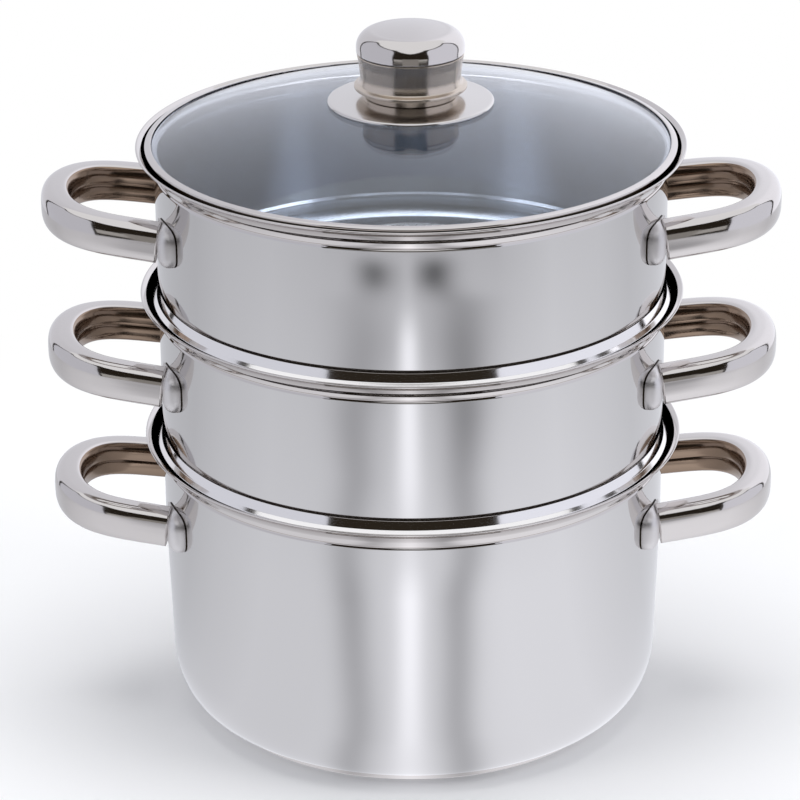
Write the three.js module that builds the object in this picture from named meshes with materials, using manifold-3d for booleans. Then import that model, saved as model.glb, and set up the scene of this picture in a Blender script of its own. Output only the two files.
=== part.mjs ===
// Three-tier steamer pot: a stock pot with an encapsulated base, two steamer tiers with
// perforated floors that nest in the rim below, and a glass lid with a steel knob.
// Millimetres, +Z up. The origin is the centre of the underside of the base.
import * as THREE from "three";
import { mergeVertices } from "three/addons/utils/BufferGeometryUtils.js";
import Module from "manifold-3d";

const wasm = await Module();
wasm.setup();

// Shared sheet and rim sizes. Every tier has the same flared rim, so all of them stack.
const sheet = 0.9;
const bodyRadius = 113;
const creaseDepth = 0.4;
const creaseWidth = 1.8;
const flareWidth = 7.7;
const flareHeight = 8.3;
const flareStartTilt = THREE.MathUtils.degToRad(25);
const clearance = 0.3;

// Heights. The rim heights are taken to the underside of the lip's edge.
const potRimHeight = 130.8;
const tierPitch = 67.7;

// Pot body and its encapsulated base.
const taperTop = 90;
const wallTaper = 1.8;
const cornerHeight = 25.7;
const cornerWidth = 14.2;
const baseHeight = 4.3;
const baseInset = 1.7;
const baseCapSheet = 0.8;
const baseRimRound = 1.1;

// Steamer tiers: shoulder, skirt, seat bead and perforated floor.
const skirtInset = 3.2;
const shoulderLift = 5.2;
const shoulderHeight = 8.4;
const beadBulge = 3.7;
const beadHalfHeight = 4.6;
const skirtTail = 0.4;
const floorRound = 4.5;
const holeDiameter = 7.5;
const holeFieldMargin = 17.3;
const holeRingCount = 4;
const holesPerRingStep = 4;

// Handles: an oval tube bent to a loop, on two welded feet.
const handleDrop = 33;
const handleReach = 43.9;
const handleSpread = 37.8;
const handleRise = 6.8;
const tubeWidth = 14.2;
const tubeHeight = 17.3;
const footInset = 3.5;
const footWidth = 25.6;
const footHeight = 18.2;
const footCornerShare = 0.47;
const footRoundShare = 0.28;
const footCentreShift = 0.5;

// Glass lid with its steel band.
const bandInset = 3.7;
const bandSheet = 0.6;
const bandHeight = 2.2;
const hemWidth = 2.6;
const shelfWidth = 3.9;
const bandSkirtLength = 4.2;
const glassThickness = 3;
const glassRise = 20.2;
const groundEdgeShare = 0.7;
const glassHole = 4.5;

// Knob, its plate and the screw that clamps them on the glass.
const plateRadius = 36.5;
const plateSheet = 0.9;
const plateFlatRadius = 24;
const plateRimLift = 0.5;
const plateRimDrop = 0.9;
const knobRadius = 23.6;
const knobWaistInset = 1.1;
const knobRingBulge = 2;
const knobFootInset = 4.1;
const knobHeight = 30;
const knobSeamHeight = 19.2;
const seamGap = 0.4;
const capRound = 6.6;
const capCrown = 1;
const screwRadius = 2.5;
const screwDepth = 12;
const screwHeadLap = 1.6;
const screwHeadHeight = 2.6;
const screwHeadChamfer = 1.2;
const washerRadius = 13;
const washerThickness = 1.5;
const underPlateRadius = 15;
const underPlateThickness = 1;

// Fineness of the curved faces.
const bodySides = 32;
const knobSides = 24;
const smallSides = 16;
const holeSides = 6;
const tubeSteps = 16;
const tubeSides = 10;

const overrun = 5;
const weld = 1e-4;

function finish(color, roughness, metalness, more = {}) {
  return new THREE.MeshStandardMaterial({ color, roughness, metalness, ...more });
}

const steelSatin = finish(0xc9c9cb, 0.32, 1);
const steelPolished = finish(0xd6d5d3, 0.1, 1);
const aluminium = finish(0xb9bbbd, 0.5, 1);
const glass = finish(0xb9c6d0, 0.04, 0, { transparent: true, opacity: 0.4 });
const silicone = finish(0xd9dadb, 0.7, 0);

const object = new THREE.Group();

function addMesh(name, geometry, material, turn = 0) {
  const mesh = new THREE.Mesh(geometry, material);
  mesh.name = name;
  mesh.rotation.z = turn;
  object.add(mesh);
}

// A profile of [radius, height] points turned about the Z axis.
function turned(profile, sides) {
  const points = profile.map(([radius, height]) => new THREE.Vector2(Math.max(radius, 0), height));
  return new THREE.LatheGeometry(points, sides).rotateX(Math.PI / 2);
}

function solidOf(geometry) {
  const bare = geometry.clone();
  bare.deleteAttribute("normal");
  bare.deleteAttribute("uv");
  const merged = mergeVertices(bare, weld);
  const vertProperties = new Float32Array(merged.attributes.position.array);
  const triVerts = new Uint32Array(merged.index.array);
  const mesh = new wasm.Mesh({ numProp: 3, vertProperties, triVerts });
  mesh.merge();
  return new wasm.Manifold(mesh);
}

function geometryOf(solid) {
  const mesh = solid.getMesh();
  const geometry = new THREE.BufferGeometry();
  geometry.setAttribute("position", new THREE.BufferAttribute(mesh.vertProperties, 3));
  geometry.setIndex(new THREE.BufferAttribute(mesh.triVerts, 1));
  geometry.computeVertexNormals();
  return geometry;
}

// Points on an arc in the profile plane, from one angle to another, both ends included.
function arc(centreRadius, centreHeight, radius, from, to, steps) {
  const points = [];
  for (let i = 0; i <= steps; i += 1) {
    const angle = from + ((to - from) * i) / steps;
    points.push([centreRadius + radius * Math.cos(angle), centreHeight + radius * Math.sin(angle)]);
  }
  return points;
}

// The closed profile of a sheet of even thickness, from its outer line, which runs from
// the axis or an inner edge to the rim. The thickness lies on the left of the line.
function sheetProfile(line, thickness) {
  const inner = line.map((point, i) => {
    const before = line[Math.max(i - 1, 0)];
    const after = line[Math.min(i + 1, line.length - 1)];
    const first = new THREE.Vector2(point[0] - before[0], point[1] - before[1]).normalize();
    const second = new THREE.Vector2(after[0] - point[0], after[1] - point[1]).normalize();
    const along = first.clone().add(second).normalize();
    const widen = i > 0 && i < line.length - 1 ? 1 / along.dot(second) : 1;
    return [point[0] - along.y * thickness * widen, point[1] + along.x * thickness * widen];
  });
  const closed = line.concat(inner.reverse());
  if (line[0][0] > 0) {
    closed.push(line[0]);
  }
  return closed;
}

// The flared rim that every tier shares: a pressed crease, then a hollow flare, an arc
// whose tilt from upright grows from the crease to the lip.
const lipRadius = bodyRadius + flareWidth;
const flareSweep = 2 * (Math.atan2(flareWidth, flareHeight) - flareStartTilt);
const flareArc = Math.hypot(flareWidth, flareHeight) / (2 * Math.sin(flareSweep / 2));
const flareCentreRadius = bodyRadius + flareArc * Math.cos(flareStartTilt);
const flareCentreDrop = flareHeight + flareArc * Math.sin(flareStartTilt);

function rimLine(rimHeight) {
  const flareFoot = rimHeight - flareHeight;
  const crease = [
    [bodyRadius, flareFoot - creaseWidth],
    [bodyRadius - creaseDepth, flareFoot - creaseWidth / 2],
  ];
  const from = Math.PI - flareStartTilt;
  const flare = arc(flareCentreRadius, rimHeight - flareCentreDrop, flareArc, from, from - flareSweep, 3);
  return crease.concat(flare);
}

// Where something rests in the flare: the drop below the rim height at which it has this
// radius, and the radius that it has at this drop.
const seatReach = flareArc + sheet + clearance;

function seatDrop(radius) {
  return flareCentreDrop - Math.sqrt(seatReach ** 2 - (flareCentreRadius - radius) ** 2);
}

function seatRadius(drop) {
  return flareCentreRadius - Math.sqrt(seatReach ** 2 - (flareCentreDrop - drop) ** 2);
}

// Pot: a flat floor, a deep rounded corner, a slightly tapered wall and the rim.
const cornerShares = [[0, 0], [0.48, 0.13], [0.78, 0.37], [0.94, 0.68], [1, 1]];
const floorRadius = bodyRadius - wallTaper - cornerWidth;

function potBody() {
  const corner = cornerShares.map(([across, up]) => [
    floorRadius + cornerWidth * across,
    baseHeight + cornerHeight * up,
  ]);
  const line = [[0, baseHeight], ...corner, [bodyRadius, taperTop], ...rimLine(potRimHeight)];
  return turned(sheetProfile(line, sheet), bodySides);
}

// Encapsulated base: an aluminium disc in a shallow steel cap.
const baseRadius = floorRadius - baseInset;

function baseCap() {
  const rimRound = arc(baseRadius - baseRimRound, baseRimRound, baseRimRound, -Math.PI / 2, 0, 2);
  const line = [[0, 0], ...rimRound, [baseRadius, baseHeight - clearance]];
  return turned(sheetProfile(line, baseCapSheet), bodySides);
}

function baseCore() {
  const radius = baseRadius - baseCapSheet - baseRimRound;
  const foot = baseCapSheet + clearance;
  const top = baseHeight - clearance;
  return turned([[0, foot], [radius, foot], [radius, top], [0, top]], bodySides);
}

// Steamer tier: one drawn shell from its floor to its rim. The bead on the narrow skirt
// rests in the flare of the rim below.
const beadShares = [[-1, 0], [-0.45, 0.55], [0, 1], [0.45, 0.55], [1, 0]];
const shoulderShares = [[0, 0], [0.72, 0.3], [1, 1]];
const skirtRadius = bodyRadius - skirtInset;
const beadDrop = seatDrop(skirtRadius + beadBulge);
const floorDrop = beadDrop + beadHalfHeight + skirtTail + floorRound;

function steamerShell(rimBelow) {
  const floorHeight = rimBelow - floorDrop;
  const corner = arc(
    skirtRadius - floorRound, floorHeight + floorRound, floorRound, -Math.PI / 2, 0, 2,
  );
  const bead = beadShares.map(([up, out]) => [
    skirtRadius + beadBulge * out,
    rimBelow - beadDrop + beadHalfHeight * up,
  ]);
  const shoulder = shoulderShares.map(([out, up]) => [
    skirtRadius + skirtInset * out,
    rimBelow + shoulderLift + shoulderHeight * up,
  ]);
  const rim = rimLine(rimBelow + tierPitch);
  const line = [[0, floorHeight], ...corner, ...bead, ...shoulder, ...rim];
  return turned(sheetProfile(line, sheet), bodySides);
}

// Straight round drill, upright, for the holes in the floors.
function drill(radius, x, y, foot, top, sides) {
  const cylinder = new THREE.CylinderGeometry(radius, radius, top - foot, sides);
  return solidOf(cylinder.rotateX(Math.PI / 2).translate(x, y, (foot + top) / 2));
}

const holeRingPitch = (skirtRadius - floorRound - holeFieldMargin) / holeRingCount;

function steamerTier(rimBelow) {
  let shell = solidOf(steamerShell(rimBelow));
  const foot = rimBelow - floorDrop - overrun;
  const top = rimBelow - floorDrop + overrun;
  const drills = [drill(holeDiameter / 2, 0, 0, foot, top, holeSides)];
  for (let ring = 1; ring <= holeRingCount; ring += 1) {
    const count = ring * holesPerRingStep;
    for (let i = 0; i < count; i += 1) {
      const angle = (2 * Math.PI * (i + (ring % 2) / 2)) / count;
      const x = ring * holeRingPitch * Math.cos(angle);
      const y = ring * holeRingPitch * Math.sin(angle);
      drills.push(drill(holeDiameter / 2, x, y, foot, top, holeSides));
    }
  }
  for (const bit of drills) {
    shell = shell.subtract(bit);
  }
  return geometryOf(shell);
}

// Welded foot of a handle: a pillow with a flat outer face and a back that follows the
// wall. The side is +1 or -1 along Y.
const wallRadius = bodyRadius + clearance;
const footFaceX = bodyRadius - footInset;
const footCentre = handleSpread + footCentreShift;
const footCorner = footHeight * footCornerShare;
const footRound = footHeight * footRoundShare;

function roundedRectangle(width, height, radius) {
  const x = width / 2 - radius;
  const y = height / 2 - radius;
  const outline = new THREE.Shape();
  outline.absarc(x, y, radius, 0, Math.PI / 2);
  outline.absarc(-x, y, radius, Math.PI / 2, Math.PI);
  outline.absarc(-x, -y, radius, Math.PI, 1.5 * Math.PI);
  outline.absarc(x, -y, radius, 1.5 * Math.PI, 2 * Math.PI);
  return outline;
}

function wallBehind(height) {
  return solidOf(turned([
    [0, height - footHeight],
    [wallRadius, height - footHeight],
    [wallRadius, height + footHeight],
    [0, height + footHeight],
  ], bodySides));
}

function handleFoot(rimHeight, side) {
  const wallAtEdge = Math.sqrt(wallRadius ** 2 - (footCentre + footWidth / 2) ** 2);
  const depth = footFaceX - wallAtEdge + overrun;
  const across = footWidth - 2 * footRound;
  const outline = roundedRectangle(footHeight - 2 * footRound, across, footCorner - footRound);
  const block = new THREE.ExtrudeGeometry(outline, {
    depth,
    curveSegments: 1,
    bevelEnabled: true,
    bevelThickness: footRound,
    bevelSize: footRound,
    bevelSegments: 2,
  });
  const height = rimHeight - handleDrop;
  block.rotateY(Math.PI / 2).translate(footFaceX - footRound - depth, side * footCentre, height);
  return geometryOf(solidOf(block).subtract(wallBehind(height)));
}

// Handle loop: an oval tube along a D-shaped path, trimmed flat against its feet. A point of
// the D lies out by cos^(2 / fullness) of the reach, at an angle from its middle.
const pathAngles = [80, 65, 48, 32, 16, 0].map((angle) => THREE.MathUtils.degToRad(angle));
const pathFullness = 4.5;
const legToeIn = 0.1;
const ovalPower = 0.86;

function handleLoop(rimHeight) {
  const height = rimHeight - handleDrop;
  const pathPoint = (out, across) => new THREE.Vector3(
    footFaceX + (handleReach + footInset) * out,
    handleSpread * across,
    height + handleRise * Math.max(out, 0),
  );
  const bend = pathAngles.map((angle) => {
    const out = Math.cos(angle) ** (2 / pathFullness);
    return pathPoint(out, Math.sin(angle) * (1 - legToeIn * out));
  });
  const half = [pathPoint(-0.12, 1.02), pathPoint(0, 1), ...bend];
  const mirrored = half.slice(0, -1).reverse().map(({ x, y, z }) => new THREE.Vector3(x, -y, z));
  const path = new THREE.CatmullRomCurve3(half.concat(mirrored), false, "centripetal");
  const outline = new THREE.Shape();
  for (let i = 0; i < tubeSides; i += 1) {
    const angle = (2 * Math.PI * i) / tubeSides;
    const up = Math.sign(Math.cos(angle)) * Math.abs(Math.cos(angle)) ** ovalPower;
    const out = Math.sign(Math.sin(angle)) * Math.abs(Math.sin(angle)) ** ovalPower;
    const point = [(tubeHeight / 2) * up, (tubeWidth / 2) * out];
    if (i === 0) {
      outline.moveTo(...point);
    } else {
      outline.lineTo(...point);
    }
  }
  outline.closePath();
  const tube = new THREE.ExtrudeGeometry(outline, {
    steps: tubeSteps, bevelEnabled: false, extrudePath: path,
  });
  const blockDepth = 2 * bodyRadius;
  const trim = new THREE.BoxGeometry(blockDepth, blockDepth, blockDepth);
  trim.translate(footFaceX + clearance - blockDepth / 2, 0, height);
  return geometryOf(solidOf(tube).subtract(solidOf(trim)).subtract(wallBehind(height)));
}

// Lid glass: a shallow dome of even thickness with a ground edge and a screw hole.
const lidRim = potRimHeight + 2 * tierPitch;
const bandRadius = lipRadius - bandInset;
const bandSeat = lidRim - seatDrop(bandRadius);
const bandTop = bandSeat + bandHeight;
const glassEdge = bandRadius - bandSheet - clearance;
const groundWidth = glassThickness * groundEdgeShare;
const underEdge = glassEdge - groundWidth;
const glassSphere = (glassEdge * glassEdge + glassRise * glassRise) / (2 * glassRise);
const glassEdgeSlope = glassEdge / (glassSphere - glassRise);
const glassTopAtEdge = bandTop - bandSheet - clearance;
const glassCentre = glassTopAtEdge + glassRise - glassSphere;
const glassTop = glassTopAtEdge + glassRise;

function glassHeight(radius, offset) {
  return glassCentre + Math.sqrt((glassSphere - offset) ** 2 - radius * radius);
}

// Points on the dome, or on its underside, from the screw hole to an edge.
const domeShares = [0, 0.12, 0.4, 0.7, 1];

function domeLine(edge, offset) {
  return domeShares.map((share) => {
    const radius = glassHole + (edge - glassHole) * share;
    return [radius, glassHeight(radius, offset)];
  });
}

function lidGlass() {
  const top = domeLine(glassEdge, 0);
  const under = domeLine(underEdge, glassThickness);
  const ground = [glassEdge, glassTopAtEdge - (glassThickness - groundWidth)];
  return turned([...under, ground, ...top.reverse(), under[0]], bodySides);
}

// Lid band: a sheet ring, hemmed over the edge of the glass, with a shelf under the glass,
// a seat that rests in the flare and a skirt that guides the lid in the rim.
const shelfHeight = glassHeight(underEdge, glassThickness) - clearance - bandSheet;
const shelfRadius = seatRadius(lidRim - shelfHeight);

function lidBand() {
  const skirt = shelfRadius - shelfWidth;
  const hemRun = hemWidth - bandSheet;
  const line = [
    [skirt, shelfHeight - bandSkirtLength],
    [skirt, shelfHeight],
    [shelfRadius, shelfHeight],
    [bandRadius, bandSeat],
    [bandRadius, bandTop - bandSheet],
    [bandRadius - bandSheet, bandTop],
    [bandRadius - hemWidth, bandTop + hemRun * glassEdgeSlope],
  ];
  return turned(sheetProfile(line, bandSheet), bodySides);
}

// Knob plate: a shallow dish on the glass, whose rim stands just off the dome.
const plateHeight = glassTop + clearance;

function knobPlate() {
  const crest = plateHeight + plateRimLift;
  return turned([
    [glassHole, plateHeight],
    [plateFlatRadius, plateHeight],
    [plateRadius - plateSheet, crest],
    [plateRadius - plateSheet, crest - plateRimDrop],
    [plateRadius, crest - plateRimDrop],
    [plateRadius, crest + plateSheet / 2],
    [plateRadius - plateSheet, crest + plateSheet],
    [plateFlatRadius, plateHeight + plateSheet],
    [glassHole, plateHeight + plateSheet],
    [glassHole, plateHeight],
  ], knobSides);
}

// Knob: a foot that flares to a rolled ring, a waisted side, a seam and a rounded cap.
// Shares go across from the foot to the waist, and up from the foot to the seam.
const knobFoot = plateHeight + plateSheet + clearance;
const knobWaist = knobRadius - knobWaistInset;
const knobFlareShares = [[0, 0], [0.75, 0.06], [1, 0.13]];
const knobRingShares = [0.16, 0.21];
const knobWaistShares = [0.27, 0.6];

function knobBody() {
  const seam = knobFoot + knobSeamHeight;
  const bore = screwRadius + clearance;
  const boreTop = knobFoot + screwDepth;
  const footRadius = knobRadius - knobFootInset;
  const flare = knobFlareShares.map(([out, up]) => [
    footRadius + (knobWaist - footRadius) * out,
    knobFoot + knobSeamHeight * up,
  ]);
  return turned([
    [bore, knobFoot],
    ...flare,
    ...knobRingShares.map((up) => [knobWaist + knobRingBulge, knobFoot + knobSeamHeight * up]),
    ...knobWaistShares.map((up) => [knobWaist, knobFoot + knobSeamHeight * up]),
    [knobRadius - seamGap, seam - seamGap],
    [0, seam - seamGap],
    [0, boreTop],
    [bore, boreTop],
    [bore, knobFoot],
  ], knobSides);
}

function knobCap() {
  const seam = knobFoot + knobSeamHeight;
  const top = knobFoot + knobHeight - capCrown;
  const edge = arc(knobRadius - capRound, top - capRound, capRound, 0, Math.PI / 2, 3);
  return turned([
    [0, seam],
    [knobRadius - seamGap, seam],
    [knobRadius, seam + seamGap],
    ...edge,
    [0, top + capCrown],
  ], knobSides);
}

// Under the glass: a silicone washer, a steel plate and the screw into the knob.
const washerFoot = glassHeight(glassHole, glassThickness) - clearance - washerThickness;

function lidWasher() {
  return turned([
    [glassHole, washerFoot],
    [washerRadius, washerFoot],
    [washerRadius, glassHeight(washerRadius, glassThickness) - clearance],
    [glassHole, washerFoot + washerThickness],
    [glassHole, washerFoot],
  ], smallSides);
}

const underPlateTop = washerFoot - clearance;

function underPlate() {
  const foot = underPlateTop - underPlateThickness;
  return turned([
    [glassHole, foot],
    [underPlateRadius, foot],
    [underPlateRadius, underPlateTop],
    [glassHole, underPlateTop],
    [glassHole, foot],
  ], smallSides);
}

function lidScrew() {
  const headTop = underPlateTop - underPlateThickness - clearance;
  const headFoot = headTop - screwHeadHeight;
  const headRadius = glassHole + screwHeadLap;
  return turned([
    [0, headFoot],
    [headRadius - screwHeadChamfer, headFoot],
    [headRadius, headFoot + screwHeadChamfer],
    [headRadius, headTop],
    [screwRadius, headTop],
    [screwRadius, knobFoot + screwDepth - clearance],
    [0, knobFoot + screwDepth - clearance],
  ], smallSides);
}

addMesh("pot_body", potBody(), steelSatin);
addMesh("pot_base_cap", baseCap(), steelSatin);
addMesh("pot_base_core", baseCore(), aluminium);
addMesh("lower_steamer_body", steamerTier(potRimHeight), steelSatin);
addMesh("upper_steamer_body", steamerTier(potRimHeight + tierPitch), steelSatin);

// Each tier has two handles, right on +X and left on -X.
const tiers = ["pot", "lower_steamer", "upper_steamer"];
tiers.forEach((tier, index) => {
  const rimHeight = potRimHeight + index * tierPitch;
  const loop = handleLoop(rimHeight);
  const footFront = handleFoot(rimHeight, -1);
  const footBack = handleFoot(rimHeight, 1);
  addMesh(`${tier}_handle_right`, loop, steelPolished);
  addMesh(`${tier}_handle_left`, loop, steelPolished, Math.PI);
  addMesh(`${tier}_foot_right_front`, footFront, steelPolished);
  addMesh(`${tier}_foot_right_back`, footBack, steelPolished);
  addMesh(`${tier}_foot_left_back`, footFront, steelPolished, Math.PI);
  addMesh(`${tier}_foot_left_front`, footBack, steelPolished, Math.PI);
});

addMesh("lid_band", lidBand(), steelPolished);
addMesh("lid_glass", lidGlass(), glass);
addMesh("knob_plate", knobPlate(), steelPolished);
addMesh("knob_body", knobBody(), steelPolished);
addMesh("knob_cap", knobCap(), steelPolished);
addMesh("lid_washer", lidWasher(), silicone);
addMesh("lid_under_plate", underPlate(), steelSatin);
addMesh("lid_screw", lidScrew(), steelSatin);

export default object;
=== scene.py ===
"""Three-tier steamer pot: stock pot, two steamer tiers and a glass lid, in a white studio."""
import math

import bpy
import numpy as np
from mathutils import Matrix, Vector


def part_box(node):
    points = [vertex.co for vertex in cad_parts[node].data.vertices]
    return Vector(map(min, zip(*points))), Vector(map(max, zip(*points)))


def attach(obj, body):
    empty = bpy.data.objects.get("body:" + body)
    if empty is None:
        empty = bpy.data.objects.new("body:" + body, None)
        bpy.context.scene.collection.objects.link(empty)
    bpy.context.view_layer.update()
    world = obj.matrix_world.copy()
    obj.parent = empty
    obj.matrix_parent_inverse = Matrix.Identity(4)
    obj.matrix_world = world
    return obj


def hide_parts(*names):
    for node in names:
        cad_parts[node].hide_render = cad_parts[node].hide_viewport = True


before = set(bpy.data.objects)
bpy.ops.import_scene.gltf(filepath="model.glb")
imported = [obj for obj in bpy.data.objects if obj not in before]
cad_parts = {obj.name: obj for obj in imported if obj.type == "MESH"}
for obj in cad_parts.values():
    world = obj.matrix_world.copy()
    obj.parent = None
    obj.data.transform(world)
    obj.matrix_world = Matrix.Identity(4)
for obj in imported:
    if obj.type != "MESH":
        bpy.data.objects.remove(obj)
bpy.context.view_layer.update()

MM = 0.001


# The view: a long lens, looking down a little on the front of the pot, with a slight
# roll and shift as the photograph was framed.
view_target = Vector((0, 0, 143.29 * MM))
view_distance = 1559.03 * MM
view_elevation = math.radians(22.754)
view_roll = math.radians(-0.343)
focal_length = 154.87
sensor_width = 36
frame_side = 800
optical_axis = (412.55, 399.0)

forward = Vector((0, math.cos(view_elevation), -math.sin(view_elevation)))
level = Vector((1, 0, 0))
upright = level.cross(forward)
camera_right = math.cos(view_roll) * level + math.sin(view_roll) * upright
camera_up = math.cos(view_roll) * upright - math.sin(view_roll) * level
camera_data = bpy.data.cameras.new("camera")
camera_data.lens = focal_length
camera_data.sensor_width = sensor_width
camera_data.shift_x = (frame_side / 2 - optical_axis[0]) / frame_side
camera_data.shift_y = (optical_axis[1] - frame_side / 2) / frame_side
camera = bpy.data.objects.new("camera", camera_data)
turn = Matrix((camera_right, camera_up, -forward)).transposed().to_4x4()
camera.matrix_world = Matrix.Translation(view_target - forward * view_distance) @ turn
bpy.context.scene.collection.objects.link(camera)
bpy.context.scene.camera = camera
bpy.context.scene.view_settings.view_transform = "Standard"


# The studio: a white table in a white tent, two soft panels with dark frames at the front, a
# bright wall behind the pot, and a dark curtain between the panels, behind the camera. Panels,
# frames, wall and curtain are glowing cards that light nothing: painted reflections in the steel
# and the glass.
def linear(hex_colour):
    """sRGB hex colour as linear red, green, blue and alpha: c/12.92, or ((c + .055)/1.055)^2.4."""
    parts = [int(hex_colour[i:i + 2], 16) / 255 for i in (1, 3, 5)]
    return [c / 12.92 if c <= 0.04045 else ((c + 0.055) / 1.055) ** 2.4 for c in parts] + [1]


def add_node(tree, kind, values=None, links=None, **settings):
    """Adds one node: settings are its properties, values its sockets, links what feeds them."""
    node = tree.nodes.new(kind)
    for name, value in settings.items():
        setattr(node, name, value)
    for socket, value in (values or {}).items():
        node.inputs[socket].default_value = value
    for socket, source in (links or {}).items():
        tree.links.new(source, node.inputs[socket])
    return node


def new_material(name):
    """A material and its node tree, which is empty."""
    material = bpy.data.materials.new(name)
    material.use_nodes = True
    material.node_tree.nodes.clear()
    return material, material.node_tree


def finish_material(tree, shader):
    """Links a shader to the material's output."""
    add_node(tree, "ShaderNodeOutputMaterial", links={"Surface": shader.outputs[0]})


def seen_directly(tree):
    """1 for a ray from the camera, from a gloss or through glass, and 0 for diffuse light."""
    path = add_node(tree, "ShaderNodeLightPath")
    first = add_node(tree, "ShaderNodeMath", operation="MAXIMUM", links={
        0: path.outputs["Is Camera Ray"], 1: path.outputs["Is Glossy Ray"]})
    both = add_node(tree, "ShaderNodeMath", operation="MAXIMUM", links={
        0: first.outputs[0], 1: path.outputs["Is Transmission Ray"]})
    return both.outputs[0]


def mesh_object(name, points, faces):
    """A smooth mesh object of the given points, an (n, 3) array in metres, and faces."""
    mesh = bpy.data.meshes.new(name)
    mesh.from_pydata(points, [], faces)
    mesh.polygons.foreach_set("use_smooth", [True] * len(mesh.polygons))
    mesh.update()
    thing = bpy.data.objects.new(name, mesh)
    bpy.context.scene.collection.objects.link(thing)
    return thing


def grid_faces(rows, columns, row_loop=False, column_loop=False):
    """The quads of a grid of points that is numbered row by row, as an (n, 4) array."""
    i = np.arange(rows if row_loop else rows - 1)[:, None]
    j = np.arange(columns if column_loop else columns - 1)[None, :]
    below = (i + 1) % rows
    right = (j + 1) % columns
    quads = np.stack([i * columns + j, i * columns + right, below * columns + right,
                      below * columns + j], axis=-1)
    return quads.reshape(-1, 4)


def stored_levels(piece, tree, levels):
    """Stores a level of glow for each point of a piece, and gives the socket that reads it."""
    layer = piece.data.attributes.new("shade", "FLOAT", "POINT")
    layer.data.foreach_set("value", levels.astype(np.float32))
    return add_node(tree, "ShaderNodeAttribute", attribute_name="shade").outputs["Fac"]


def studio_wall(name, azimuths, foot, top, radius, bright, tint):
    """Part of a tall cylinder round the table: x = R sin(a), y = -R cos(a), from the foot to the
    top, with the azimuth a 0 towards the camera. The top and the glow are one number each, or
    one for each azimuth. A glowing card that lights nothing: a painted reflection, seen only in
    the steel and the glass."""
    a = np.radians(azimuths)
    heights = np.stack([np.full(len(a), foot), top * np.ones(len(a))])
    points = np.stack([radius * np.sin(a) + 0 * heights, -radius * np.cos(a) + 0 * heights,
                       heights], axis=-1).reshape(-1, 3)
    wall = mesh_object(name, points, grid_faces(2, len(a)).tolist())
    material, tree = new_material(name)
    if np.ndim(bright):
        glow = add_node(tree, "ShaderNodeEmission", values={"Color": linear(tint)},
                        links={"Strength": stored_levels(wall, tree, np.tile(bright, 2))})
    else:
        glow = add_node(tree, "ShaderNodeEmission",
                        values={"Color": linear(tint), "Strength": bright})
    finish_material(tree, glow)
    wall.data.materials.append(material)
    wall.visible_camera = wall.visible_diffuse = wall.visible_shadow = False


# The table is painted board, dead matt: the eye sees white and the pot's soft shadow. Away
# from the pot it turns into the white backdrop, for a ray that sees it directly.
table_size = 8
table_gap = 0.1 * MM
table_lift = 0.05
white_from = 0.16
white_to = 0.5
table_corners = np.array([[-1, -1, 0], [1, -1, 0], [1, 1, 0], [-1, 1, 0]])
table = mesh_object("table", table_corners * table_size - [0, 0, table_gap], [[0, 1, 2, 3]])
white_table, tree = new_material("white_table")
matt = add_node(tree, "ShaderNodeBsdfDiffuse", values={"Color": linear("#f2f2f3")})
lift = add_node(tree, "ShaderNodeMath", values={1: table_lift}, operation="MULTIPLY",
                links={0: seen_directly(tree)})
bounce = add_node(tree, "ShaderNodeEmission", values={"Color": linear("#eef2ff")},
                  links={"Strength": lift.outputs[0]})
near = add_node(tree, "ShaderNodeAddShader", links={0: matt.outputs[0], 1: bounce.outputs[0]})
table_place = add_node(tree, "ShaderNodeTexCoord")
distance = add_node(tree, "ShaderNodeVectorMath", operation="LENGTH",
                    links={0: table_place.outputs["Object"]})
far = add_node(tree, "ShaderNodeMapRange", interpolation_type="SMOOTHSTEP", values={
    "From Min": white_from, "From Max": white_to}, links={"Value": distance.outputs["Value"]})
white = add_node(tree, "ShaderNodeMath", operation="MULTIPLY", links={
    0: far.outputs[0], 1: seen_directly(tree)})
backdrop = add_node(tree, "ShaderNodeEmission", values={"Strength": 1.0})
finish_material(tree, add_node(tree, "ShaderNodeMixShader", links={
    0: white.outputs[0], 1: near.outputs[0], 2: backdrop.outputs[0]}))
table.data.materials.append(white_table)
table.visible_glossy = False

# The tent glows at half strength as light, at full strength where a ray sees it directly, and
# a little more than that in a gloss.
tent_light = 0.5
tent_seen = 0.5
tent_gloss = 0.08
world = bpy.data.worlds.new("tent")
world.use_nodes = True
world.node_tree.nodes.clear()
tree = world.node_tree
tent_path = add_node(tree, "ShaderNodeLightPath")
direct = add_node(tree, "ShaderNodeMath", values={1: tent_seen, 2: tent_light},
                  operation="MULTIPLY_ADD", links={0: seen_directly(tree)})
strength = add_node(tree, "ShaderNodeMath", values={1: tent_gloss}, operation="MULTIPLY_ADD",
                    links={0: tent_path.outputs["Is Glossy Ray"], 2: direct.outputs[0]})
sky = add_node(tree, "ShaderNodeBackground", values={"Color": linear("#f9fbff")},
               links={"Strength": strength.outputs[0]})
add_node(tree, "ShaderNodeOutputWorld", links={"Surface": sky.outputs[0]})
bpy.context.scene.world = world

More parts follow.
